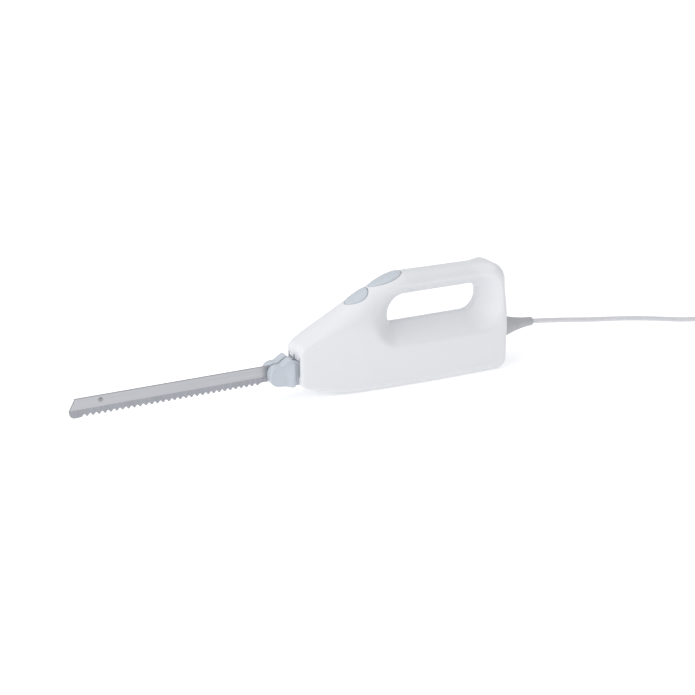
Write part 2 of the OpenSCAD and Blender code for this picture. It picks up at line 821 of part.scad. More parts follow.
// Points along the cord from the outlet to the coil
cord_route = [[76, 0, 35], [104, 0, 35], [133, 0, 34.6], [168, 0, 30.4], [206, 0, 25], [251, 0, 19.4],
    [290, 0, 13.2], [325, 0, 6.8], [345, -1.7, 4.6], [365, -5.2, 3.3], [385, -8.7, 3.2], [403, -10.1, 3.2]];
tail_route = [[446, -10.1, 7.8], [448, -10.3, 7.3], [450, -10.5, 7], [451.9, -10.5, 7]];

function spline(p, t) =
    let (n = len(p) - 1, i = min(n - 1, floor(t)), f = t - i,
         a = p[max(0, i - 1)], b = p[i], c = p[i + 1], d = p[min(n, i + 2)])
    0.5 * ((2 * b) + (c - a) * f + (2 * a - 5 * b + 4 * c - d) * f * f
           + (3 * b - a - 3 * c + d) * f * f * f);

// A round tube swept along a route, with rings across its path
module tube(route, r, rings, sides) {
    n = len(route) - 1;
    rows = [for (i = [0:rings])
        let (t = n * i / rings, c = spline(route, t),
             v = spline(route, min(n, t + 0.01)) - spline(route, max(0, t - 0.01)),
             f = v / norm(v), s0 = cross(f, [0, 0, 1]), s = s0 / norm(s0), u = cross(s, f))
        [for (k = [0:sides - 1]) c + r * (cos(360 * k / sides) * s + sin(360 * k / sides) * u)]];
    polyhedron(
        points = [for (w = rows) each w],
        faces = concat(
            [[for (k = [sides - 1:-1:0]) k], [for (k = [0:sides - 1]) rings * sides + k]],
            [for (i = [0:rings - 1]) for (k = [0:sides - 1])
                let (a = i * sides + k, b = i * sides + (k + 1) % sides)
                each [[a, b + sides, a + sides], [a, b, b + sides]]]));
}

module power_cord() {
    color("lightgray") tube(cord_route, cord_r, 44, 10);
}

module cord_coil() {
    color("lightgray") translate([coil_at[0], coil_at[1], 0]) rotate_extrude($fn = 96)
        translate([0, coil_lift])
            polygon([[21.6, 1.2], [22.8, 0], [36, 0], [37.2, 1.2],
                     [37.2, 9.2], [36, 10.4], [22.8, 10.4], [21.6, 9.2]]);
}

module cord_tie() {
    color("dimgray") translate([coil_at[0] + coil_mean, coil_at[1] - 4, 0]) difference() {
        block([-8.9, 0, 0], [8.9, 8, 12]);
        block([-8.3, -1, 0.6], [8.3, 9, 11.4]);
    }
}

module cord_tail() {
    color("lightgray") tube(tail_route, cord_r, 5, 10);
}

plug_y = -10.5;
plug_z = 7;

module plug_body() {
    color("lightgray") translate([0, plug_y, plug_z]) union() {
        translate([452, 0, 0]) rotate([0, 90, 0]) rotate_extrude($fn = 64)
            polygon([[0, 0], [4.2, 0], [5.2, 10], [6, 14], [0, 14]]);
        plate_x(464, 492) union() {
            square([18, 13.6], center = true);
            for (s = [-1, 1]) translate([9 * s, 0]) circle(r = 6.8, $fn = 64);
        }
    }
}

module plug_pins() {
    color("silver") for (s = [-1, 1]) union() {
        bar_x(492, 510, 2, plug_y + 9.5 * s, plug_z);
        translate([510, plug_y + 9.5 * s, plug_z]) rotate([0, 90, 0]) cylinder(r1 = 2, r2 = 1.2, h = 1);
    }
}

module cord_clamp() {
    color("dimgray") difference() {
        block([70, -10, 38], [79, 10, 42]);
        bar_x(69, 80, 2.7, 0, relief_z);
        for (s = [-1, 1]) translate([74.5, 7 * s, 37]) cylinder(r = 1.55, h = 6, $fn = 48);
    }
}

module clamp_base() {
    color("dimgray") difference() {
        block([70, -10, 27], [79, 10, 37.6]);
        bar_x(69, 80, 2.7, 0, relief_z);
        for (s = [-1, 1]) translate([74.5, 7 * s, 28]) cylinder(r = 1.55, h = 10, $fn = 48);
    }
}

module clamp_screws() {
    color("silver") for (s = [-1, 1]) translate([74.5, 7 * s, 29]) union() {
        cylinder(r = 1.5, h = 13, $fn = 48);
        translate([0, 0, 13]) cylinder(r = 2.6, h = 1.8, $fn = 48);
    }
}

module terminal_block() {
    color("white") difference() {
        block([56, -12, 29], [67, 12, 39]);
        for (y = [-7, 0, 7]) bar_x(55, 68, 1.9, y, 33, 32);
        for (y = [-7, 0, 7]) translate([61.5, y, 35]) cylinder(r = 1.6, h = 5, $fn = 32);
    }
}

module noise_capacitor() {
    color("khaki") block([56, -9, 12], [68, 9, 25]);
}

lead_r = 1;
lead_routes = [
    [[60, -7, 33], [54.5, -7, 33.4], [49, -8, 40], [40, -8, 46], [10, -8, 47.5], [-30, -8, 49],
     [-44, -5, 62],
     [-48, -3.2, 73.8]],
    [[60, 7, 33], [54.5, 7, 33.4], [49, 9, 40], [40, 9, 46], [10, 9, 47.5], [-30, 8, 49], [-44, 5, 62],
     [-48, 3.2, 73.8]],
];

module internal_leads() {
    color("brown") for (r = lead_routes) tube(r, lead_r, 28, 8);
}

left_housing();
right_housing();
housing_screws();
drive_guide();
gear_frame();
left_blade();
right_blade();
tip_rivet();
left_ferrule();
right_ferrule();
left_drive_bar();
right_drive_bar();
left_clip();
right_clip();
worm_wheel();
left_eccentric();
right_eccentric();
wheel_axle();
worm();
motor_shaft();
armature_core();
armature_windings();
commutator();
cooling_fan();
field_core();
field_coils();
front_bearing();
middle_bearing();
rear_bearing();
rear_bracket();
motor_bolts();
left_brush_holder();
right_brush_holder();
left_brush();
right_brush();
left_brush_spring();
right_brush_spring();
release_button();
release_spring();
release_pusher();
on_off_button();
on_off_spring();
switch_body();
switch_plunger();
strain_relief();
cord_clamp();
clamp_base();
clamp_screws();
terminal_block();
noise_capacitor();
internal_leads();
power_cord();
cord_coil();
cord_tie();
cord_tail();
plug_body();
plug_pins();
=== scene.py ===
# Electric uncapping knife, dressed over its CAD frame. All lengths below are in millimetres
# in the frame of the part and turned into metres when a mesh is made.
import math

import bmesh
import bpy
import numpy as np
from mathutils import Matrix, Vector


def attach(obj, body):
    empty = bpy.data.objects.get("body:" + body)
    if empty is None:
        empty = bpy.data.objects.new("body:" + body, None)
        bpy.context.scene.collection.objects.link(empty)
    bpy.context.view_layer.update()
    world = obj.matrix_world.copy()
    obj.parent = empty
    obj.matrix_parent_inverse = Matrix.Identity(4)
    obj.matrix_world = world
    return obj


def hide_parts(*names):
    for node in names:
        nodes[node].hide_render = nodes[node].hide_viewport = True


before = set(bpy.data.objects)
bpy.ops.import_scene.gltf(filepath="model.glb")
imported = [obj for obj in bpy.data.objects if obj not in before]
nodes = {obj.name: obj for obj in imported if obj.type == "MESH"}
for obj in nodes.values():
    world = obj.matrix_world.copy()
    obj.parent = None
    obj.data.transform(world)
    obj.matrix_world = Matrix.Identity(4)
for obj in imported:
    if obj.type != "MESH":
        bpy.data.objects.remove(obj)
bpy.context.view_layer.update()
MM = 0.001

# ------------------------------------------------------------------ camera

AZIMUTH, ELEVATION = math.radians(26.78), math.radians(20)
DISTANCE = 1.3154
target = Vector((-80 * MM, 0, 40.5 * MM))
forward = Vector((math.sin(AZIMUTH) * math.cos(ELEVATION),
                  math.cos(AZIMUTH) * math.cos(ELEVATION), -math.sin(ELEVATION)))
camera = bpy.data.objects.new("camera", bpy.data.cameras.new("camera"))
camera.location = target - forward * DISTANCE
camera.rotation_euler = forward.to_track_quat("-Z", "Y").to_euler()
camera.data.lens = 70.86
camera.data.sensor_width = 36
camera.data.clip_end = 200
bpy.context.scene.collection.objects.link(camera)
bpy.context.scene.camera = camera


# ------------------------------------------------------------------ small tools

def place(obj):
    bpy.context.scene.collection.objects.link(obj)
    return obj


def mesh_object(name, verts, faces, angle=35):
    mesh = bpy.data.meshes.new(name)
    points = [tuple(float(c) * MM for c in v) for v in verts]
    mesh.from_pydata(points, [], [tuple(int(i) for i in f) for f in faces])
    bm = bmesh.new()
    bm.from_mesh(mesh)
    bmesh.ops.remove_doubles(bm, verts=bm.verts, dist=1e-6)
    bmesh.ops.recalc_face_normals(bm, faces=bm.faces)
    bm.to_mesh(mesh)
    bm.free()
    smooth(mesh, angle)
    return place(bpy.data.objects.new(name, mesh))


def smooth(mesh, angle=35):
    mesh.shade_smooth()
    mesh.set_sharp_from_angle(angle=math.radians(angle))


def grid_faces(n, m, wrap_n=True, wrap_m=True):
    rows = range(n if wrap_n else n - 1)
    cols = range(m if wrap_m else m - 1)
    return [(i * m + k, i * m + (k + 1) % m, ((i + 1) % n) * m + (k + 1) % m, ((i + 1) % n) * m + k)
            for i in rows for k in cols]


def apply_modifiers(obj):
    depsgraph = bpy.context.evaluated_depsgraph_get()
    done = bpy.data.meshes.new_from_object(obj.evaluated_get(depsgraph))
    obj.modifiers.clear()
    obj.data = done


def join(obj, others):
    """Adds the others' faces to obj as separate shells of one mesh."""
    bm = bmesh.new()
    bm.from_mesh(obj.data)
    for other in others:
        bm.from_mesh(other.data)
        bpy.data.objects.remove(other)
    bm.to_mesh(obj.data)
    bm.free()
    return obj


def cut(obj, cutters):
    tool = join(cutters[0], cutters[1:]) if len(cutters) > 1 else cutters[0]
    mod = obj.modifiers.new("cut", "BOOLEAN")
    mod.operation, mod.solver, mod.object = "DIFFERENCE", "EXACT", tool
    apply_modifiers(obj)
    bpy.data.objects.remove(tool)


def prism(name, outline, lo, hi, frame_of=lambda p: p):
    """A closed prism: outline points (a, b) at both ends of c, mapped by frame_of((a, b, c))."""
    n = len(outline)
    verts = [frame_of((a, b, lo)) for a, b in outline] + [frame_of((a, b, hi)) for a, b in outline]
    faces = [tuple(range(n)), tuple(range(2 * n - 1, n - 1, -1))]
    faces += [(i, i + n, (i + 1) % n + n, (i + 1) % n) for i in range(n)]
    return mesh_object(name, verts, faces)


def bevelled(obj, width, segments=3, angle=40):
    mod = obj.modifiers.new("bevel", "BEVEL")
    mod.width, mod.segments = width * MM, segments
    mod.limit_method, mod.angle_limit = "ANGLE", math.radians(angle)
    mod.harden_normals = True
    apply_modifiers(obj)
    return obj


def rounded_rect(a0, a1, b0, b1, r, n=6):
    pts = []
    corners = ((a1 - r, b1 - r, 0), (a0 + r, b1 - r, 90), (a0 + r, b0 + r, 180), (a1 - r, b0 + r, 270))
    for ca, cb, start in corners:
        for i in range(n + 1):
            t = math.radians(start + 90 * i / n)
            pts.append((ca + r * math.cos(t), cb + r * math.sin(t)))
    return pts


def ring_points(r, n, ca=0.0, cb=0.0):
    turns = [2 * math.pi * i / n for i in range(n)]
    return [(ca + r * math.cos(t), cb + r * math.sin(t)) for t in turns]


# Maps from a drawing plane to the part's frame
def side_plane(p):      # drawn in x and z, raised along y
    return (p[0], p[2], p[1])


def cross_plane(p):     # drawn in y and z, raised along x
    return (p[2], p[0], p[1])


def button_plane(at, tilt):
    c, s = math.cos(math.radians(tilt)), math.sin(math.radians(tilt))

    def to_frame(p):    # drawn along the ridge and across it, raised outwards
        return (at[0] + p[0] * c - p[2] * s, p[1], at[1] + p[0] * s + p[2] * c)
    return to_frame


def lathe(name, profile, centre, segments=96, axis="x", closed=False):
    """A turned piece: profile points (radius, distance along the axis)."""
    verts, m = [], len(profile)
    for i in range(segments):
        t = 2 * math.pi * i / segments
        for r, h in profile:
            a, b = r * math.cos(t), r * math.sin(t)
            p = {"x": (h, a, b), "y": (a, h, b), "z": (a, b, h)}[axis]
            verts.append((centre[0] + p[0], centre[1] + p[1], centre[2] + p[2]))
    return mesh_object(name, verts, grid_faces(segments, m, True, closed))


# ------------------------------------------------------------------ materials

def material(name, colour, rough, metallic=0.0, vary=0.04, scale=60.0, bump=0.05, bump_scale=900.0,
             rough_vary=0.06, stretch=(1, 1, 1), coat=0.0, wear_and_edge_highlight=0.0, second=None, specular=0.5, glow=0.0):
    """Colour variation, roughness variation and fine relief, all from noise in object space."""
    mat = bpy.data.materials.new(name)
    mat.use_nodes = True
    nt = mat.node_tree
    nt.nodes.clear()
    new, link = nt.nodes.new, nt.links.new
    out, bsdf = new("ShaderNodeOutputMaterial"), new("ShaderNodeBsdfPrincipled")
    link(bsdf.outputs[0], out.inputs[0])
    bsdf.inputs["Metallic"].default_value = metallic
    bsdf.inputs["Coat Weight"].default_value = coat
    bsdf.inputs["Coat Roughness"].default_value = 0.12
    bsdf.inputs["Specular IOR Level"].default_value = specular
    bsdf.inputs["Emission Color"].default_value = (1, 1, 1, 1)
    bsdf.inputs["Emission Strength"].default_value = glow
    coords, mapping = new("ShaderNodeTexCoord"), new("ShaderNodeMapping")
    mapping.inputs["Scale"].default_value = stretch
    link(coords.outputs["Object"], mapping.inputs["Vector"])

    def noise(s, detail=4.0, roughness=0.55):
        n = new("ShaderNodeTexNoise")
        n.inputs["Scale"].default_value = s
        n.inputs["Detail"].default_value = detail
        n.inputs["Roughness"].default_value = roughness
        link(mapping.outputs[0], n.inputs["Vector"])
        return n

    large = noise(scale)
    ramp = new("ShaderNodeValToRGB")
    a, b = ramp.color_ramp.elements
    a.position, b.position = 0.3, 0.7
    dark = [c * (1 - vary) for c in colour]
    light = [min(1, c * (1 + vary)) for c in (second or colour)]
    a.color, b.color = (*dark, 1), (*light, 1)
    link(large.outputs["Fac"], ramp.inputs[0])
    colour_out = ramp.outputs[0]
    # Convex edges, found by pointiness, are given a lighter colour: partly wear, partly a painted highlight
    # where light catches the rounded edges.
    if wear_and_edge_highlight:
        geometry, edge, mix = new("ShaderNodeNewGeometry"), new("ShaderNodeMapRange"), new("ShaderNodeMix")
        edge.inputs["From Min"].default_value, edge.inputs["From Max"].default_value = 0.52, 0.6
        edge.inputs["To Max"].default_value = wear_and_edge_highlight
        mix.data_type = "RGBA"
        mix.inputs["B"].default_value = (*[min(1, c * 1.25 + 0.03) for c in colour], 1)
        link(geometry.outputs["Pointiness"], edge.inputs["Value"])
        link(edge.outputs[0], mix.inputs["Factor"])
        link(colour_out, mix.inputs["A"])
        colour_out = mix.outputs["Result"]
    link(colour_out, bsdf.inputs["Base Color"])
    smudge, span = noise(scale * 2.7, 6), new("ShaderNodeMapRange")
    span.inputs["To Min"].default_value = max(0.02, rough - rough_vary)
    span.inputs["To Max"].default_value = min(1, rough + rough_vary)
    link(smudge.outputs["Fac"], span.inputs["Value"])
    link(span.outputs[0], bsdf.inputs["Roughness"])
    fine, relief = noise(bump_scale, 3), new("ShaderNodeBump")
    relief.inputs["Strength"].default_value = bump
    relief.inputs["Distance"].default_value = 0.0004
    link(fine.outputs["Fac"], relief.inputs["Height"])
    link(relief.outputs[0], bsdf.inputs["Normal"])
    return mat


M = {
    "shell": material("shell_white", (0.75, 0.76, 0.78), 0.36, vary=0.012, scale=14,
                      bump=0.035, bump_scale=1500, rough_vary=0.05, coat=0.08, wear_and_edge_highlight=0.2),
    "button": material("button_grey", (0.54, 0.58, 0.62), 0.38, vary=0.03, scale=90,
                       bump=0.08, bump_scale=2200, wear_and_edge_highlight=0.3),
    "ferrule": material("ferrule_grey", (0.53, 0.57, 0.62), 0.36, vary=0.03, scale=70,
                        bump=0.07, bump_scale=1800, wear_and_edge_highlight=0.35),
    "blade": material("blade_steel", (0.46, 0.465, 0.485), 0.34, metallic=1.0, vary=0.05, scale=120,
                      bump=0.10, bump_scale=700, stretch=(0.06, 1, 2.6), rough_vary=0.08),
    "ground": material("ground_steel", (0.34, 0.35, 0.375), 0.42, metallic=1.0, vary=0.08, scale=160,
                       bump=0.2, bump_scale=800, stretch=(3.0, 1, 0.08), rough_vary=0.08),
    "steel": material("bright_steel", (0.62, 0.62, 0.64), 0.28, metallic=1.0, vary=0.06, scale=200,
                      bump=0.06),
    # The rivet's steel is made much darker than the bright steel: painted shade standing in for the shade of
    # the recessed pin.
    "rivet": material("rivet_steel_painted_shade", (0.33, 0.33, 0.34), 0.38, metallic=0.9, vary=0.1, scale=300, bump=0.1),
    "drive": material("drive_plastic", (0.16, 0.17, 0.19), 0.5, vary=0.08, scale=120, bump=0.12),
    "acetal": material("acetal", (0.78, 0.74, 0.62), 0.42, vary=0.05, scale=110, bump=0.08),
    "brass": material("brass", (0.80, 0.58, 0.25), 0.3, metallic=1.0, vary=0.08, scale=150, bump=0.08),
    "core": material("core_sheet", (0.30, 0.30, 0.32), 0.5, metallic=0.9, vary=0.12, scale=90, bump=0.5,
                     bump_scale=500, stretch=(6, 0.2, 0.2)),
    "copper": material("copper_wire", (0.52, 0.20, 0.08), 0.35, metallic=0.7, vary=0.15, scale=260, bump=0.6,
                       bump_scale=420, stretch=(1, 1, 0.15)),
    "carbon": material("carbon", (0.03, 0.03, 0.033), 0.6, vary=0.2, scale=300, bump=0.2),
    "bronze": material("sintered_bronze", (0.50, 0.34, 0.18), 0.5, metallic=1.0, vary=0.15, scale=400,
                       bump=0.25),
    "black": material("black_plastic", (0.025, 0.025, 0.028), 0.45, vary=0.15, scale=120, bump=0.1),
    "relief": material("relief_grey", (0.45, 0.455, 0.47), 0.55, vary=0.05, scale=120,
                       bump=0.16, bump_scale=1400, wear_and_edge_highlight=0.25),
    "cord": material("cord_sheath", (0.66, 0.665, 0.69), 0.5, vary=0.04, scale=160,
                     bump=0.1, bump_scale=1200),
    "lead": material("lead_sheath", (0.20, 0.09, 0.04), 0.5, vary=0.1, scale=200, bump=0.1),
}


def dress(obj, key, *nodes_replaced, body="housing"):
    obj.data.materials.clear()
    obj.data.materials.append(M[key])
    if nodes_replaced:
        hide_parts(*nodes_replaced)
    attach(obj, body)
    return obj


# ------------------------------------------------------------------ cord

CORD_D = 5.0
CORD_EXIT_Z = 35
LOWER_LAYER, UPPER_LAYER = 3.2, 8.4
TURN_STEPS = 24
COIL = (425.0, 24.5)
route = [(124, 0, 35), (133, 0, 34.6), (168, 0, 30.4), (206, 0, 25), (251, 0, 19.4), (290, 0, 13.2),
         (325, 0, 6.8),
         (345, -1.7, 4.6), (365, -5.2, 3.3), (385, -8.7, 3.2), (403, -10.1, 3.2)]
RADII = (34.5, 29.4, 24.3, 24.3, 29.4, 34.5)
for turn, r in enumerate(RADII):
    r_next = RADII[min(turn + 1, 5)]
    z = LOWER_LAYER if turn < 3 else UPPER_LAYER
    z_next = LOWER_LAYER if turn < 2 else UPPER_LAYER
    for i in range(TURN_STEPS):
        f = i / TURN_STEPS
        step = max(0.0, (f - 0.7) / 0.3)
        step = step * step * (3 - 2 * step)
        t = math.radians(-90 + 360 * f)
        rr = r + (r_next - r) * step
        route.append((COIL[0] + rr * math.cos(t), COIL[1] + rr * math.sin(t), z + (z_next - z) * step))
route += [(425, -10, 8.4), (434, -10, 8.3), (443, -10.1, 7.9), (451, -10.3, 7.3), (458, -10.5, 7)]


def catmull(points, per):
    p = [np.array(q, float) for q in points]
    out = []
    for i in range(len(p) - 1):
        a, b, c, d = p[max(0, i - 1)], p[i], p[i + 1], p[min(len(p) - 1, i + 2)]
        for k in range(per):
            f = k / per
            out.append(0.5 * (2 * b + (c - a) * f + (2 * a - 5 * b + 4 * c - d) * f * f
                              + (3 * b - a - 3 * c + d) * f ** 3))
    out.append(p[-1])
    return out


line = catmull(route, 3)
cord_length = sum(np.linalg.norm(b - a) for a, b in zip(line, line[1:]))
curve = bpy.data.curves.new("power_cord", "CURVE")
curve.dimensions = "3D"
spline = curve.splines.new("POLY")
spline.points.add(len(line) - 1)
for point, p in zip(spline.points, line):
    point.co = (*(c * MM for c in p), 1)
curve.bevel_depth = CORD_D / 2 * MM
curve.bevel_resolution = 6
curve.use_fill_caps = True
cord = place(bpy.data.objects.new("cord", curve))
spline.use_smooth = True

# ------------------------------------------------------------------ housing

NOSE, BACK, HIGH = -136.5, 88.0, 109.5
STEPS = [7, 4, 16, 7, 7, 6, 4, 8]
FINE = 7         # finer steps than the CAD's, per step
WALL = 2.2
GROOVE = 0.22    # half width of the seam between the halves
COLUMNS = 46     # from the outline to the finger opening


def arc(c, r, a0, a1, n):
    t = np.radians(a0 + (a1 - a0) * np.arange(n) / n)
    return np.stack([c[0] + r * np.cos(t), c[1] + r * np.sin(t)], 1)


def segment(p, q, n):
    t = np.arange(n)[:, None] / n
    return np.array(p, float) + (np.array(q, float) - np.array(p, float)) * t


def bezier(p, n):
    t = np.arange(n)[:, None] / n
    u = 1 - t
    p = [np.array(q, float) for q in p]
    return u ** 3 * p[0] + 3 * u * u * t * p[1] + 3 * u * t * t * p[2] + t ** 3 * p[3]


def ease(v):
    t = np.clip(v, 0, 1)
    return t * t * (3 - 2 * t)


def mix(a, b, t):
    return a + (b - a) * t


s = [v * FINE for v in STEPS]
outline = np.concatenate([
    bezier([[-71, 0], [-95, 0], [NOSE + 21, 6], [NOSE + 3, 12.5]], s[0]),
    segment([NOSE, 15.5], [NOSE, 49.5], s[1]),
    bezier([[NOSE + 3, 52.5], [NOSE + 45, 78.5], [-58, HIGH - 4], [-24, HIGH]], s[2]),
    segment([-24, HIGH], [BACK - 18, HIGH - 1], s[3]),
    arc([BACK - 18, HIGH - 19], 18, 90, 0, s[4]),
    segment([BACK, HIGH - 19], [BACK, 11], s[5]),
    arc([BACK - 11, 11], 11, 0, -90, s[6]),
    segment([BACK - 11, 0], [-71, 0], s[7])])
OF, OB, OL, OH = -39.0, 62.0, 60.2, 87.4
opening = np.concatenate([
    arc([OF + 7, OL + 7], 7, 270, 215, s[0]), arc([OF + 7, OL + 7], 7, 215, 180, s[1]),
    arc([OF + 18, OH - 18], 18, 180, 90, s[2]), segment([OF + 18, OH], [OB - 9, OH], s[3]),
    arc([OB - 9, OH - 9], 9, 90, 0, s[4]), arc([OB - 15, OL + 15], 15, 0, -45, s[5]),
    arc([OB - 15, OL + 15], 15, -45, -90, s[6]), segment([OB - 15, OL], [OF + 7, OL], s[7])])


def run(a, b, k, fast=0.0):
    t = np.arange(s[k]) / s[k]
    return mix(a, b, ease(fast * t) if fast else t)


def brow(a, b, c):
    t = np.arange(s[2]) / s[2]
    return np.where(t < 0.4, mix(a, b, ease(t / 0.4)), mix(b, c, ease((t - 0.4) / 0.6)))


round_depth = np.concatenate([run(8, 3, 0), run(2.5, 2.5, 1), brow(4, 16, 11.5), run(11.5, 11.5, 3),
                              run(11.5, 13.5, 4, 2), run(13.5, 9, 5, 1.6), run(9, 8, 6), run(8, 8, 7)])
round_side = np.concatenate([run(8, 3, 0), run(2.5, 2.5, 1), brow(4, 19, 13.5), run(13.5, 13.5, 3),
                             run(13.5, 15, 4, 2), run(15, 10, 5, 1.6), run(10, 8, 6), run(8, 8, 7)])
dish_depth = np.concatenate([run(17, 22, 0), run(22, 25, 1), run(25, 12, 2, 1), run(12, 12, 3),
                             run(12, 22, 4), run(22, 22, 5), run(22, 17, 6), run(17, 17, 7)])


def nearest(p, loop):
    a, ab = loop, np.roll(loop, -1, 0) - loop
    length = (ab ** 2).sum(1)
    dist, where = np.empty(len(p)), np.empty(len(p))
    for i0 in range(0, len(p), 4000):
        q = p[i0:i0 + 4000]
        t = np.clip(((q[:, None] - a) * ab).sum(2) / length, 0, 1)
        d = np.linalg.norm(q[:, None] - a - t[..., None] * ab, axis=2)
        i = d.argmin(1)
        r = np.arange(len(q))
        dist[i0:i0 + 4000], where[i0:i0 + 4000] = d[r, i], i + t[r, i]
    return dist, where


def at(values, where):
    i = np.floor(where).astype(int)
    n = len(values)
    return mix(values[i % n], values[(i + 1) % n], where - i)


def side_at(p, t=0.0):
    """Half width of the housing at points (x, z), t inside its outer face."""
    do, wo = nearest(p, outline)
    di, wi = nearest(p, opening)
    along = np.clip((p[:, 0] - NOSE) / 170, 0, 1)
    w = mix(16, 27.5, 1 - (1 - along) ** 2)
    up = ease((p[:, 1] - 58) / 34) * ease((p[:, 0] + 105) / 55) * (1 - 0.7 * ease((p[:, 0] - 52) / 32))
    w = mix(w, 15.5, up)
    depth, side = at(round_depth, wo) - t, np.minimum(at(round_side, wo), w - 0.4) - t
    q = np.minimum(1, np.maximum(0, do - t) / depth)
    outer = w - t - side + side * np.sqrt(1 - (1 - q) ** 2)
    r = 7 - t
    e, e1 = np.maximum(0, di - t), r * 0.357
    slope = (w + 2 - 1.5 - 7 * 0.766) / (at(dish_depth, wi) - 7 * 0.357)
    inner = np.where(e < e1, 1.5 + np.sqrt(np.maximum(0, r * r - (r - np.minimum(e, r)) ** 2)),
                     1.5 + r * 0.766 + slope * (e - e1))
    h = np.maximum(3 - abs(outer - inner), 0) / 3
    return np.minimum(outer, inner) - h * h * 3 / 4


def moved(loop, d):
    v = np.roll(loop, -1, 0) - np.roll(loop, 1, 0)
    u = v / np.linalg.norm(v, axis=1)[:, None]
    return loop + d * np.stack([u[:, 1], -u[:, 0]], 1)


def half_shell(name, side):
    c = (1 - np.cos(np.linspace(0, math.pi, COLUMNS))) / 2
    n = len(outline)

    def sheet(o, h, t):
        g = o[:, None] + (h - o)[:, None] * c[None, :, None]
        y = side_at(g.reshape(-1, 2), t).reshape(n, COLUMNS)
        return np.stack([g[..., 0], y * side, g[..., 1]], 2)

    def rim(loop, y):
        return np.stack([loop[:, 0], np.full(n, y * side), loop[:, 1]], 1)[:, None]

    o_in, h_in = moved(outline, WALL), moved(opening, -WALL)
    outer, inner = sheet(outline, opening, 0), sheet(o_in, h_in, WALL)
    rows = np.concatenate([
        rim(moved(outline, GROOVE), 0), rim(outline, 0.2), outer[:, 1:-1], rim(opening, 0.2),
        rim(moved(opening, -GROOVE), 0), rim(h_in, 0), inner[:, 1:-1][:, ::-1], rim(o_in, 0)], 1)
    m = rows.shape[1]
    return mesh_object(name, rows.reshape(-1, 3), grid_faces(n, m), angle=50)


RELEASE, RELEASE_TILT = (-71.5, 91.6), 30
SWITCH, SWITCH_TILT = (-41.0, 105.4), 17
HOLE_GAP = 0.45
SCREWS = [(-95, 12.5), (-118, 54.5), (-30, 9.5), (77, 12), (75, 94), (-6, 98.5)]


def release_outline(grow=0.0, n=96):
    """Egg shaped: blunt at the back, narrower at the front."""
    pts = []
    for i in range(n):
        t = 2 * math.pi * i / n
        a, b = math.cos(t), math.sin(t)
        width = 10.5 * (1 + 0.10 * a)
        pts.append(((13.0 + grow) * a, (width + grow) * b))
    return pts


def switch_outline(grow=0.0, n=96):
    """A rounded back end that draws in to a soft point at the front."""
    pts = []
    for i in range(n):
        t = 2 * math.pi * i / n
        a, b = math.cos(t), math.sin(t)
        x = 18.0 * a
        k = (a + 1) / 2
        half = 10.0 * (math.sqrt(max(0.0, 1 - a * a)) ** 0.9) * (0.55 + 0.45 * k ** 0.55) * 1.12
        y = math.copysign(min(10.0, half) + grow * abs(b), b) if abs(b) > 1e-9 else 0.0
        pts.append((x + grow * a, y))
    return pts


def nose_window():
    """A narrow foot, an ear at each side, and a notch in the middle of the top, in Y and Z."""
    half = [(10.4, 14.2), (10.4, 22.4), (11.2, 23.2), (12.4, 24.2), (12.8, 25.2), (12.8, 41.6), (12.4, 42.7),
            (11.8, 43.1), (11.0, 42.7), (10.4, 41.4), (10.2, 39.9), (9.6, 39.4), (1.8, 39.4), (1.2, 40),
            (1.1, 43), (0.6, 43.5)]
    return half + [(-a, b) for a, b in reversed(half)]


def open_shell(obj, more=()):
    """Cuts the openings out of a half, in two goes because the button holes cross each other."""
    first = [
        prism("cut", nose_window(), -140, -131, cross_plane),
        prism("cut", release_outline(HOLE_GAP), -9, 10, button_plane(RELEASE, RELEASE_TILT)),
        prism("cut", ring_points(6.2, 48, 0, CORD_EXIT_Z), 80, 92, cross_plane)]
    first += [prism("cut", rounded_rect(-13, 13, 53 + 5 * i, 55.4 + 5 * i, 1.1), 82, 92, cross_plane)
              for i in range(5)]
    first += [prism("cut", rounded_rect(-26 + 4.5 * i, -23.8 + 4.5 * i, -14, 14, 1), -1, 4)
              for i in range(6)]
    cut(obj, first + list(more))
    cut(obj, [prism("cut", switch_outline(HOLE_GAP), -7.5, 9, button_plane(SWITCH, SWITCH_TILT))])


left = half_shell("left_shell", -1)
open_shell(left)
smooth(left.data, 40)
dress(left, "shell", "left_housing")

right = half_shell("right_shell", 1)
open_shell(right, [prism("cut", ring_points(3.3, 40, x, z), 8.2, 34, side_plane) for x, z in SCREWS])
posts = []
for x, z in SCREWS:
    top = float(side_at(np.array([[x, z]]))[0]) - 0.7
    posts.append(lathe("post", [(1.8, 0.3), (1.8, 8.0), (3.3, 8.0), (3.3, top), (4.5, top), (4.5, 0.3)],
                       (x, 0, z), 40, "y", True))
join(right, posts)
smooth(right.data, 40)
dress(right, "shell", "right_housing")


# ------------------------------------------------------------------ buttons

def inside(points, loop):
    x, y = points[:, 0][:, None], points[:, 1][:, None]
    a, b = loop, np.roll(loop, -1, 0)
    cross = (a[:, 1] > y) != (b[:, 1] > y)
    with np.errstate(divide="ignore", invalid="ignore"):
        hit = x < (b[:, 0] - a[:, 0]) * (y - a[:, 1]) / (b[:, 1] - a[:, 1]) + a[:, 0]
    return (cross & hit).sum(1) % 2 == 1


def ridge_height(to_frame, uv):
    """Height of the housing's outer face over a button's plane, by halving steps."""
    lo, hi = np.full(len(uv), -14.0), np.full(len(uv), 6.0)
    for _ in range(18):
        mid = (lo + hi) / 2
        p = np.array([to_frame((u, v, w)) for (u, v), w in zip(uv, mid)])
        q = p[:, [0, 2]]
        solid = inside(q, outline) & (np.abs(p[:, 1]) < side_at(q))
        lo, hi = np.where(solid, mid, lo), np.where(solid, hi, mid)
    return (lo + hi) / 2


CAP_RADIUS = 11     # mean radius of a button
CAP_EDGE = 1.3      # rounding of its edge


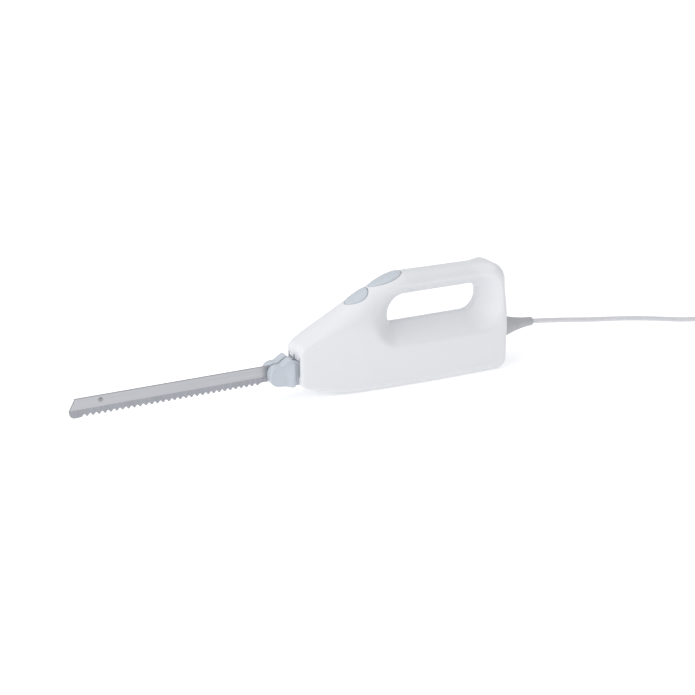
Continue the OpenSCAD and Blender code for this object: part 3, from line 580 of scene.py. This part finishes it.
def button(name, outline_of, at_point, tilt, proud, low):
    to_frame = button_plane(at_point, tilt)
    base = np.array(outline_of())
    n = len(base)
    centre = base.mean(0)
    scales = [1.0, 0.985, 0.955, 0.91, 0.84, 0.74, 0.6, 0.42, 0.22]
    rings = []
    for k, f in enumerate(scales):
        uv = centre + (base - centre) * f
        w = ridge_height(to_frame, uv)
        edge = (1 - f) * CAP_RADIUS
        drop = CAP_EDGE * (1 - math.sqrt(max(0.0, 1 - max(0.0, 1 - edge / CAP_EDGE) ** 2)))
        rings.append([to_frame((u, v, h + proud - drop)) for (u, v), h in zip(uv, w)])
    verts = [to_frame((u, v, low)) for u, v in base]
    for r in rings:
        verts += r
    top = ridge_height(to_frame, centre[None])[0] + proud
    verts.append(to_frame((centre[0], centre[1], top)))
    m = len(scales) + 1
    faces = [(k * n + i, k * n + (i + 1) % n, (k + 1) * n + (i + 1) % n, (k + 1) * n + i)
             for k in range(m - 1) for i in range(n)]
    faces += [((m - 1) * n + i, (m - 1) * n + (i + 1) % n, m * n) for i in range(n)]
    faces.append(tuple(range(n - 1, -1, -1)))
    return mesh_object(name, verts, faces, angle=60)


def stem(at_point, tilt, u, r, lo, hi):
    return prism("stem", ring_points(r, 32, u, 0), lo, hi, button_plane(at_point, tilt))


release = button("release_cap", release_outline, RELEASE, RELEASE_TILT, 0.7, -7)
join(release, [stem(RELEASE, RELEASE_TILT, 1, 1.9, -16, -6.9)])
dress(release, "button", "release_button", body="release")
on_off = button("on_off_cap", switch_outline, SWITCH, SWITCH_TILT, 0.8, -5)
join(on_off, [stem(SWITCH, SWITCH_TILT, -11, 2, -12, -4.9), stem(SWITCH, SWITCH_TILT, 9, 1.8, -9.5, -4.9)])
dress(on_off, "button", "on_off_button", body="on_off")


# ------------------------------------------------------------------ blades

FIRST_TOOTH, TOOTH_PITCH, TEETH = -344.0, 5.46, 31
TOOTH_Z, TOOTH_WAVE = 18.3, 1.2
TIP_X, SPINE_Z, GRIND_Z = -354.8, 36.1, 26.0
BLADE_IN, BLADE_OUT, EDGE_HALF = 0.15, 1.2, 0.42
RIVET = (-326, 32)


def tooth_line(x):
    """Height of the cutting edge at x."""
    if x < FIRST_TOOTH:
        tip = [(TIP_X, 24), (-354.5, 21.4), (-353.4, 19.4), (-351.6, 18.3), (-349.4, 18),
               (FIRST_TOOTH, TOOTH_Z)]
        return float(np.interp(x, [a for a, _ in tip], [b for _, b in tip]))
    f = (x - FIRST_TOOTH) / TOOTH_PITCH
    if f >= TEETH:
        return float(np.interp(x, [-174.7, -171, -146], [TOOTH_Z, 20.4, 20.4]))
    return TOOTH_Z + TOOTH_WAVE * (1 - math.cos(2 * math.pi * f))


def blade(name, side):
    xs = [TIP_X, -354.6, -354.2, -353.6, -352.8, -351.8, -350.8, -349.6, -348.8, -347.4, -345.8, -344.4]
    xs += [FIRST_TOOTH + TOOTH_PITCH * (i + k / 12) for i in range(TEETH) for k in range(12)]
    xs += [-174.7, -173, -171, -166, -160, -153, -146]
    grind = [0, 0.06, 0.16, 0.3, 0.46, 0.62, 0.78, 0.9, 1.0]
    flat = [0.06, 0.3, 0.6, 0.92, 0.985, 1.0]
    rows = []
    for x in xs:
        low = tooth_line(x)
        high = min(SPINE_Z, float(np.interp(x, [TIP_X, -348.8], [24.8, SPINE_Z])))
        mid = min(GRIND_Z, low + 0.75 * (high - low))
        zs = [low + (mid - low) * g for g in grind] + [mid + (high - mid) * g for g in flat]
        ys = []
        for k, z in enumerate(zs):
            g = min(1.0, max(0.0, (z - low) / max(0.5, GRIND_Z - low)))
            y = EDGE_HALF + (BLADE_OUT - EDGE_HALF) * g ** 0.62 if z < mid - 1e-6 else BLADE_OUT
            if k == len(zs) - 1:
                y = 0.95
            ys.append(y)
        col = [(x, side * BLADE_IN, high)]
        col += [(x, side * y, z) for y, z in zip(reversed(ys), reversed(zs))]
        col.append((x, side * BLADE_IN, low))
        rows.append(col)
    n, m = len(rows), len(rows[0])
    verts = [p for c in rows for p in c]
    faces = [(i * m + k, i * m + (k + 1) % m, (i + 1) * m + (k + 1) % m, (i + 1) * m + k)
             for i in range(n - 1) for k in range(m)]
    faces += [tuple(range(m)), tuple((n - 1) * m + k for k in range(m - 1, -1, -1))]
    obj = mesh_object(name, verts, faces, angle=22)
    tang = prism("tang", rounded_rect(-146.4, -126, 22, 33, 0.8),
                 side * BLADE_IN, side * BLADE_OUT, side_plane)
    return join(obj, [tang])


def two_finishes(obj, second, test):
    """Gives the faces that pass the test a second material."""
    obj.data.materials.append(M[second])
    for p in obj.data.polygons:
        if test(p.center / MM, p.normal):
            p.material_index = 1


left_blade = blade("left_cutter", -1)
cut(left_blade, [prism("cut", ring_points(1.52, 32, *RIVET), -2, 0, side_plane)])
smooth(left_blade.data, 22)
dress(left_blade, "blade", "left_blade", body="left_drive")
right_blade = blade("right_cutter", 1)
cut(right_blade, [prism("cut", rounded_rect(-333.9, -318.1, 30.3, 33.7, 1.65), 0, 2, side_plane)])
smooth(right_blade.data, 22)
dress(right_blade, "blade", "right_blade", body="right_drive")
for b in (left_blade, right_blade):
    two_finishes(b, "ground", lambda c, n: c.z < 25.95 and c.x < -146 and abs(c.y) > 0.3)

rivet = lathe("tip_rivet_head", [(0, -1.75), (1.0, -1.72), (1.8, -1.6), (2.2, -1.38), (2.25, -1.2),
                                 (1.5, -1.19), (1.5, 1.5), (2.7, 1.51), (2.7, 1.8), (2.2, 2.05),
                                 (1.2, 2.1), (0, 2.1)],
              (RIVET[0], 0, RIVET[1]), 48, "y")
dress(rivet, "rivet", "tip_rivet", body="left_drive")


# ------------------------------------------------------------------ ferrules

def arc_points(ca, cb, r, start, end, n):
    return [(ca + r * math.cos(math.radians(start + (end - start) * i / n)),
             cb + r * math.sin(math.radians(start + (end - start) * i / n))) for i in range(n + 1)]


def ferrule_outline():
    """An upright rounded front, a flat shoulder and a hump over the back."""
    return (arc_points(-157.3, 25.6, 8.2, 270, 180, 14) + arc_points(-157.3, 28.9, 8.2, 180, 90, 14)[1:]
            + arc_points(-154.6, 40.1, 3, 270, 301, 4) + arc_points(-144.9, 39.4, 3, 121, 40, 12)
            + arc_points(-141.0, 37.6, 1, 40, 0, 3) + arc_points(-140.8, 14.8, 0.8, 0, -90, 4)
            + [(-143, 14), (-146.2, 14.9), (-150, 16.3)])


def ferrule(name, side):
    body = prism(name, ferrule_outline(), side * 1.2, side * 11.2, side_plane)
    bevelled(body, 1.5, 6, 45)
    band = prism("band", rounded_rect(-144.4, -140.2, 16.6, 38.4, 1.2), side * 9.5, side * 11.75, side_plane)
    bevelled(band, 0.8, 4, 45)
    neck = prism("neck", rounded_rect(-142, -119, 15.2, 38.1, 0.6), side * 1.2, side * 9.8, side_plane)
    bevelled(neck, 0.5, 3, 45)
    cut(neck, [prism("cut", rounded_rect(-133, -117, 23.9, 36, 0.5), side * 6.4, side * 8.6, side_plane)])
    cut(neck, [prism("cut", rounded_rect(-126.5, -121, 35.5, 42, 0.5), side * 6.4, side * 8.6, side_plane)])
    join(body, [band, neck])
    smooth(body.data, 38)
    return body


dress(ferrule("left_holder", -1), "ferrule", "left_ferrule", body="left_drive")
dress(ferrule("right_holder", 1), "ferrule", "right_ferrule", body="right_drive")

# ------------------------------------------------------------------ cord outlet, plug and tie

PLUG_Y = -10.5
relief = lathe("cord_outlet", [
    (2.6, 82.3), (9, 82.3), (9, 85.5), (5.9, 85.6), (5.9, 88.1), (11.6, 88.1), (12.3, 88.4), (12.4, 89.2),
    (12.1, 91), (11.5, 93.6), (10.7, 96.8), (9.7, 100.4), (8.6, 104.4), (7.6, 108.2), (6.7, 112.2),
    (6.0, 116), (5.4, 119.6), (4.95, 123), (4.65, 126.4), (4.5, 129.6), (4.3, 131.2), (3.7, 132),
    (2.6, 132)], (0, 0, CORD_EXIT_Z), 96, "x", True)
dress(relief, "relief", "strain_relief")

plug = prism("plug_shell", rounded_rect(PLUG_Y - 15.8, PLUG_Y + 15.8, 0.2, 13.8, 6.6, 12),
             466, 492, cross_plane)
bevelled(plug, 1.4, 4, 50)
grip = lathe("grip", [(2.6, 452), (3.9, 452), (4.3, 452.6), (4.6, 455), (5.0, 459), (5.9, 463), (6.6, 467),
                       (2.6, 467)], (0, PLUG_Y, 7), 64, "x", True)
ribs = []
for x in (454, 457.2, 460.4):
    r = 4.0 + 0.12 * (x - 450)
    ribs.append(lathe("rib", [(4.0, x), (r, x + 0.5), (r, x + 1.5), (4.0, x + 2)], (0, PLUG_Y, 7), 48, "x"))
join(plug, [grip] + ribs)
dress(plug, "cord", "plug_body")
tie_points = rounded_rect(-8.75, 8.75, 0.15, 11.85, 2.4, 6)
tie_in = rounded_rect(-8.15, 8.15, 0.6, 11.35, 1.9, 6)
n = len(tie_points)
cx = COIL[0] + 29.4
tie_verts = [(cx + a, COIL[1] + y, b) for y in (-4, 4) for ring in (tie_points, tie_in) for a, b in ring]
tie_faces = []
for i in range(n):
    j = (i + 1) % n
    tie_faces += [(i, j, 2 * n + j, 2 * n + i), (n + i, 3 * n + i, 3 * n + j, n + j),
                  (i, n + i, n + j, j), (2 * n + i, 2 * n + j, 3 * n + j, 3 * n + i)]
tie = mesh_object("tie_strap", tie_verts, tie_faces)
dress(tie, "black", "cord_tie")

dress(cord, "cord", "power_cord", "cord_coil", "cord_tail")

# ------------------------------------------------------------------ pieces kept from the frame

KEEP = {
    "steel": "housing_screws wheel_axle motor_shaft motor_bolts clamp_screws left_clip right_clip "
             "left_eccentric right_eccentric release_spring on_off_spring "
             "left_brush_spring right_brush_spring plug_pins",
    "drive": "drive_guide gear_frame left_drive_bar right_drive_bar rear_bracket release_pusher",
    "acetal": "worm_wheel terminal_block noise_capacitor switch_plunger",
    "brass": "worm left_brush_holder right_brush_holder",
    "core": "armature_core field_core", "copper": "armature_windings field_coils commutator",
    "carbon": "left_brush right_brush", "bronze": "front_bearing middle_bearing rear_bearing",
    "black": "cooling_fan switch_body cord_clamp clamp_base", "lead": "internal_leads"}
for key, names in KEEP.items():
    for name in names.split():
        obj = nodes[name]
        if not obj.material_slots:
            obj.data.materials.append(M[key])
        for slot in obj.material_slots:
            slot.material = M[key]
        if name not in ("internal_leads", "worm", "field_core", "armature_core"):
            mod = obj.modifiers.new("edge", "BEVEL")
            mod.width, mod.segments, mod.limit_method = 0.2 * MM, 2, "ANGLE"
            mod.angle_limit = math.radians(45)

# ------------------------------------------------------------------ floor and light

floor_mesh = bpy.data.meshes.new("floor")
floor_mesh.from_pydata([(-60, -60, 0), (60, -60, 0), (60, 60, 0), (-60, 60, 0)], [], [(0, 1, 2, 3)])
floor = place(bpy.data.objects.new("floor", floor_mesh))
floor.location.z = -0.0003
floor_mesh.materials.append(material("floor_paper", (0.93, 0.93, 0.935), 0.8, vary=0.004, scale=2, bump=0.0,
                                     specular=0.1, glow=0.29))

world = bpy.data.worlds.new("studio")
bpy.context.scene.world = world
world.use_nodes = True
world.node_tree.nodes["Background"].inputs[0].default_value = (0.97, 0.975, 1, 1)
world.node_tree.nodes["Background"].inputs[1].default_value = 0.61


def soft_sun(name, direction, strength, spread):
    """Even light from one side of a large soft box, with no fall-off over the floor."""
    data = bpy.data.lights.new(name, "SUN")
    data.energy, data.angle = strength, math.radians(spread)
    obj = place(bpy.data.objects.new(name, data))
    obj.rotation_euler = (-Vector(direction)).to_track_quat("-Z", "Y").to_euler()


key_data = bpy.data.lights.new("key", "AREA")
key_data.size, key_data.energy = 1.2, 12.5
key = place(bpy.data.objects.new("key", key_data))
key.location = (-1.9, -0.45, 1.0)
key.rotation_euler = (target - key.location).to_track_quat("-Z", "Y").to_euler()
soft_sun("top", (-0.15, 0.05, 1), 0.85, 90)

bpy.context.scene.view_settings.view_transform = "Standard"
